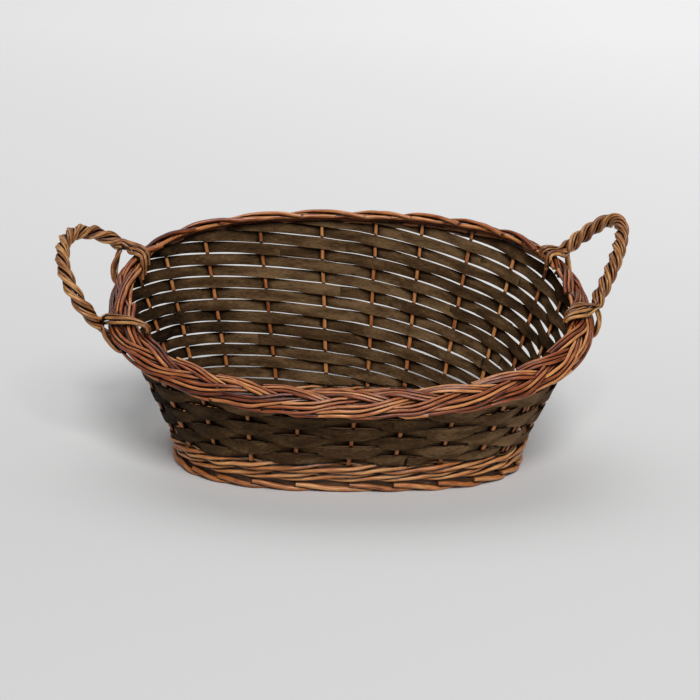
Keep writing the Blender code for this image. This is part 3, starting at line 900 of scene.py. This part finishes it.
def border_line(index, lane, first, last):
    """Middle line of one rod of a group. The lane is its place across the group."""
    points = []
    for gaps in np.arange(first, last, COURSE_STEP):
        across = along_course(ACROSS_COURSE, gaps) * (BORDER_REACH - OUTER_LANE) + lane
        across = max(-BORDER_REACH, min(BORDER_REACH, across))
        height = border_surface(across) + along_course(HEIGHT_COURSE, gaps) * OVER_HEIGHT
        points.append(border_place(index - STAKE_AFTER + gaps, across, height))
    return points


def make_border():
    """From each stake a group of three rods, and a short thick rod beside them with its cut end up."""
    for index in range(STAKES):
        # The border's own paleness, with painted light and shade by place.
        pale = BORDER_PALENESS + BORDER_PAINTED_LIGHT_SHARE * between(PAINTED_LIGHT_AND_SHADE, index + 1)
        rods = []
        for lane in LANES:
            lane = (lane + chance.uniform(-LANE_SPREAD, LANE_SPREAD)) * MM
            radius = BORDER_ROD_RADIUS * chance.uniform(*ROD_THICKNESS)
            line = border_line(index, lane, COURSE_START, chance.uniform(*COURSE_END))
            name = f"border_{index}_{len(rods)}"
            rod = willow_rod(name, line, radius, taper=0.2, pale=pale, spacing=3.5 * MM, wander=0.3 * MM)
            rods.append(rod)
        line = border_line(index, BUTT_LANE, chance.uniform(*BUTT_START), BUTT_END)
        rods.append(willow_rod(f"border_{index}_butt", line, BUTT_RADIUS, taper=0.1, pale=pale))
        group = joined(f"border_group_{index + 1:02d}", rods)
        finish_piece(group, (BORDER_WILLOW, CUT_END), (f"border_rod_{index % 6 + 1}",))
    rods = []
    for across, over in INNER_RODS:
        points = [border_place(step / 2, across * MM, over * MM) for step in range(2 * STAKES + 1)]
        rods.append(willow_rod(f"under_{len(rods)}", points, INNER_RADIUS, spacing=5 * MM, wander=0.3 * MM))
    core = joined("border_inner_rods", rods)
    finish_piece(core, (BORDER_WILLOW, CUT_END), ("border_core",))


# The handles.

# A leg ends where the rope meets the border, at a turn, an angle round the border and a lift in
# millimetres. From there each strand has its own course, inside or outside the border.
LEFT_HANDLE = {
    "name": "left", "side": -1, "rear": 0.429, "front": 0.552,
    "rear_pull": (85.3, 13.9, 48), "front_pull": (61.6, -16.3, 46.5), "turns": 3.7,
    "rear_end": (0.435, 84, 5.5), "front_end": (0.5235, 16, 4.2),
    "rear_leaves": (0.02, 0.03, 0.03), "front_leaves": (0.955, 0.985, 0.985),
    "rear_courses": (
        ((0.442, 108, 4.4), (0.446, 136, 3.2), (0.450, 165, 3.0), (0.455, 192, 3.0)),
        ((0.436, 108, 4.4), (0.440, 136, 3.2), (0.444, 165, 3.0), (0.447, 192, 3.0)),
        ((0.441, 60, 10.0), (0.445, 25, 11.0), (0.454, -5, 8.5), (0.463, -38, 3.0), (0.468, -72, 1.6)),
    ),
    "rear_drops": (13, 8, 0),
    "front_courses": (
        (
            (0.520, 40, 3.2), (0.531, 75, 2.4), (0.541, 105, 2.2),
            (0.550, 135, 2.2), (0.557, 162, 2.4), (0.561, 188, 2.8),
        ),
        ((0.533, -32, 3.8), (0.541, -36, 3.0), (0.549, -42, 2.6), (0.556, -56, 2.0), (0.560, -76, 1.5)),
        ((0.532, -2, 3.8), (0.540, -8, 3.0), (0.548, -16, 2.6), (0.556, -32, 2.2), (0.561, -58, 1.5)),
    ),
    "front_drops": (7, 0, 0),
}
RIGHT_HANDLE = {
    "name": "right", "side": 1, "rear": 0.080, "front": 0.004,
    "rear_pull": (83, 7.5, 66), "front_pull": (35, -2, 47.5), "turns": 4.2,
    "rear_end": (0.070, 86, 6.8), "front_end": (-0.0125, 86, 6.0),
    "rear_leaves": (0.02, 0.03, 0.01), "front_leaves": (0.99, 0.98, 0.97),
    "rear_courses": (
        ((0.069, 108, 4.6), (0.071, 136, 3.2), (0.073, 165, 3.0), (0.075, 190, 3.0)),
        ((0.063, 106, 4.4), (0.062, 134, 3.0), (0.0615, 162, 2.8), (0.061, 190, 3.0)),
        ((0.067, 68, 6.0), (0.065, 44, 4.2), (0.062, 14, 2.6), (0.060, -20, 2.0), (0.059, -60, 1.6)),
    ),
    "rear_drops": (4, 8, 0),
    "front_courses": (
        ((-0.015, 114, 3.2), (-0.019, 138, 2.2), (-0.023, 163, 2.1), (-0.026, 192, 2.4)),
        ((-0.021, 106, 3.4), (-0.028, 132, 2.2), (-0.034, 160, 2.1), (-0.038, 192, 2.4)),
        ((-0.008, 55, 4.6), (-0.012, 25, 3.4), (-0.018, 0, 2.8), (-0.024, -26, 2.4), (-0.029, -56, 1.7)),
    ),
    "front_drops": (3, 2, 0),
}
# Rods of one strand: turn round the rope, distance from its middle line, and radius.
ROPE_DISTANCE = 3.6 * MM
STRAND_RODS = ((-0.45, ROPE_DISTANCE, 1.5 * MM), (0.0, 4.8 * MM, 1.55 * MM), (0.45, ROPE_DISTANCE, 1.5 * MM))
# How the rods of a strand spread on the border: degrees round it, distance along it and share of a drop.
SPREAD_ROUND = 24
SPREAD_ALONG = 3.8 * MM
SPREAD_DROP = 0.7
# The bow inside the rope, the steps in which a rod is drawn, and a small step for finding its direction.
BOW_RADIUS = 2.1 * MM
ROPE_STEPS = 62
SHARE_STEP = 0.005


def rope_middle(handle, share):
    """Middle line of a handle's rope, from its rear leg to its front leg."""
    ends = []
    pulled = []
    for leg in ("rear", "front"):
        turn, angle, lift = handle[leg + "_end"]
        ends.append(border_ring(turn, angle, lift * MM))
        out, back, up = handle[leg + "_pull"]
        pulled.append(rim_point(handle[leg]) + Vector((handle["side"] * out, back, up)) * MM)
    rest = 1 - share
    place = ends[0] * rest ** 3 + ends[1] * share ** 3
    return place + pulled[0] * (3 * share * rest ** 2) + pulled[1] * (3 * share ** 2 * rest)


def rope_tail(course, drop, lane, out):
    """End of a rod, round the border and then hanging down. The lane is its place in the strand."""
    turns_forward = course[-1][0] > course[0][0]
    angle_rises = course[-1][1] > course[0][1]
    aside = -SPREAD_ROUND * lane if turns_forward == angle_rises else SPREAD_ROUND * lane
    places = []
    for turn, angle, lift in course:
        places.append(border_ring(turn, angle + aside, lift * MM + out, lane * SPREAD_ALONG))
    if drop:
        places.append(places[-1] - Vector((0, 0, drop * MM)))
    return places


def make_handle(handle):
    """Three strands of three rods, twisted round a thin bow, whose ends go over and round the border."""
    rear, crown, front = [rope_middle(handle, share) for share in (0.0, 0.5, 1.0)]
    plane = (front - rear).cross(crown - (front + rear) / 2).normalized()
    shares = np.linspace(0, 1, 101)
    middle = [rope_middle(handle, share) for share in shares]
    lengths = np.cumsum([0.0] + [(b - a).length for a, b in zip(middle, middle[1:])])
    for strand in range(3):
        rods = []
        leaves = handle["rear_leaves"][strand], handle["front_leaves"][strand]
        for lane, distance, radius in STRAND_RODS:
            path = []
            for share in np.linspace(*leaves, ROPE_STEPS):
                ahead = rope_middle(handle, share + SHARE_STEP)
                behind = rope_middle(handle, share - SHARE_STEP)
                along = (ahead - behind).normalized()
                across = along.cross(plane).normalized()
                over = across.cross(along)
                twist = handle["turns"] * np.interp(share, shares, lengths / lengths[-1])
                phase = math.pi / 2 + 2 * math.pi * (strand / 3 + twist) + lane
                place = across * math.cos(phase) + over * math.sin(phase)
                path.append(rope_middle(handle, share) + place * distance)
            tails = []
            for leg in ("rear", "front"):
                course = handle[leg + "_courses"][strand]
                drop = handle[leg + "_drops"][strand] * (1 + SPREAD_DROP * lane)
                tails.append(rope_tail(course, drop, lane, distance - ROPE_DISTANCE))
            points = tails[0][::-1] + path + tails[1]
            name = f"rope_{strand}_{len(rods)}"
            rods.append(willow_rod(name, points, radius, taper=0.16, spacing=2.5 * MM, wander=0.25 * MM))
        if strand == 0:
            rods.append(willow_rod("rope_bow", middle, BOW_RADIUS, taper=0.1, pale=0.1))
        node = f"{handle['name']}_handle_strand_{strand + 1}"
        finish_piece(joined(node + "_rods", rods), (HANDLE_WILLOW, CUT_END), (node,))


# The base board.


def dress_board():
    """The board keeps its solid and takes a wood finish."""
    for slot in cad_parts["base_board"].material_slots:
        slot.material = PLYWOOD


# Studio.

FLOOR_SIZE = 24
# The room's even light.
ROOM_STRENGTH = 0.18
# Lamps: name, place, strength, and how wide each is in degrees.
LAMPS = (
    ("key_softbox", (0.08, -0.75, 0.8), 2.6, 24),
    ("rear_softbox", (-0.1, 0.5, 0.9), 0.95, 50),
)
# The camera: its direction away from the basket, its right, and its place in millimetres.
CAMERA_BACK = (-0.0535, -0.9547, 0.2926)
CAMERA_RIGHT = (0.9985, -0.0483, 0.0247)
CAMERA_PLACE = (-80.59, -1428.25, 521.15)


def make_floor():
    """A wide pale floor with painted light: a little darker just in front of the basket, and lighter towards
    the back and the right.
    """
    bpy.ops.mesh.primitive_plane_add(size=FLOOR_SIZE, location=(0, 0, 0))
    floor = bpy.context.object
    floor.name = "studio_floor"
    material, shader = new_finish("studio_floor_painted_light", roughness=0.9, ior=1.45, shine=0.2)
    place = add_node(material, "ShaderNodeTexCoord").outputs["Object"]
    apart = add_node(material, "ShaderNodeSeparateXYZ", None, None, {"Vector": place})
    back = add_node(
        material, "ShaderNodeMapRange", None,
        {"From Min": -1.0, "From Max": 4.0}, {"Value": apart.outputs["Y"]},
    )
    sideways = add_node(
        material, "ShaderNodeMapRange", None,
        {"From Min": -1.0, "From Max": 1.0}, {"Value": apart.outputs["X"]},
    )
    # Painted light: a little darker just in front of the basket, lighter towards the back and towards the
    # right.
    depth = add_node(
        material, "ShaderNodeValToRGB", None, None, {"Fac": back.outputs["Result"]},
        ((0.08, "#DADADA"), (0.18, "#D6D6D6"), (0.36, "#E2E2E2"), (0.8, "#EEEEEE")),
    )
    breadth = add_node(
        material, "ShaderNodeValToRGB", None, None, {"Fac": sideways.outputs["Result"]},
        ((0.1, "#F0F0F0"), (0.9, "#FFFFFF")),
    )
    colour = add_node(
        material, "ShaderNodeMix", {"data_type": "RGBA", "blend_type": "MULTIPLY"}, {MIX_FACTOR: 1.0},
        {MIX_FIRST: depth.outputs["Color"], MIX_SECOND: breadth.outputs["Color"]},
    )
    material.node_tree.links.new(colour.outputs[MIX_RESULT], shader.inputs["Base Color"])
    floor.data.materials.append(material)


def make_light():
    """A soft light from above the front, a weak one from behind, and a pale room."""
    world = bpy.data.worlds.new("studio")
    bpy.context.scene.world = world
    world.use_nodes = True
    room = world.node_tree.nodes["Background"]
    room.inputs["Color"].default_value = linear("#FFFFFF")
    room.inputs["Strength"].default_value = ROOM_STRENGTH
    for name, place, strength, width in LAMPS:
        bpy.ops.object.light_add(type="SUN", location=place)
        lamp = bpy.context.object
        lamp.name = name
        lamp.data.energy = strength
        lamp.data.angle = math.radians(width)
        lamp.rotation_euler = (-Vector(place)).to_track_quat("-Z", "Y").to_euler()


def make_camera():
    """The photograph's view: low, from the front and slightly from the left."""
    bpy.ops.object.camera_add()
    camera = bpy.context.object
    back = Vector(CAMERA_BACK).normalized()
    up = back.cross(Vector(CAMERA_RIGHT)).normalized()
    turned = camera.matrix_world.to_3x3()
    turned.col[0], turned.col[1], turned.col[2] = up.cross(back), up, back
    camera.matrix_world = turned.to_4x4()
    camera.location = Vector(CAMERA_PLACE) * MM + SHIFT
    camera.data.sensor_width = 36
    camera.data.lens = 92.6
    camera.data.shift_y = 0.0133
    camera.data.clip_start = 0.05
    camera.data.clip_end = 50
    bpy.context.scene.camera = camera
    bpy.context.scene.view_settings.view_transform = "Standard"


make_stakes()
make_by_stakes()
make_wale()
make_chips()
make_border()
make_handle(LEFT_HANDLE)
make_handle(RIGHT_HANDLE)
dress_board()
make_floor()
make_light()
make_camera()

# Painted shade: how covered each point is, which darkens the finishes' colour.
paint_crevice_shade(pieces)
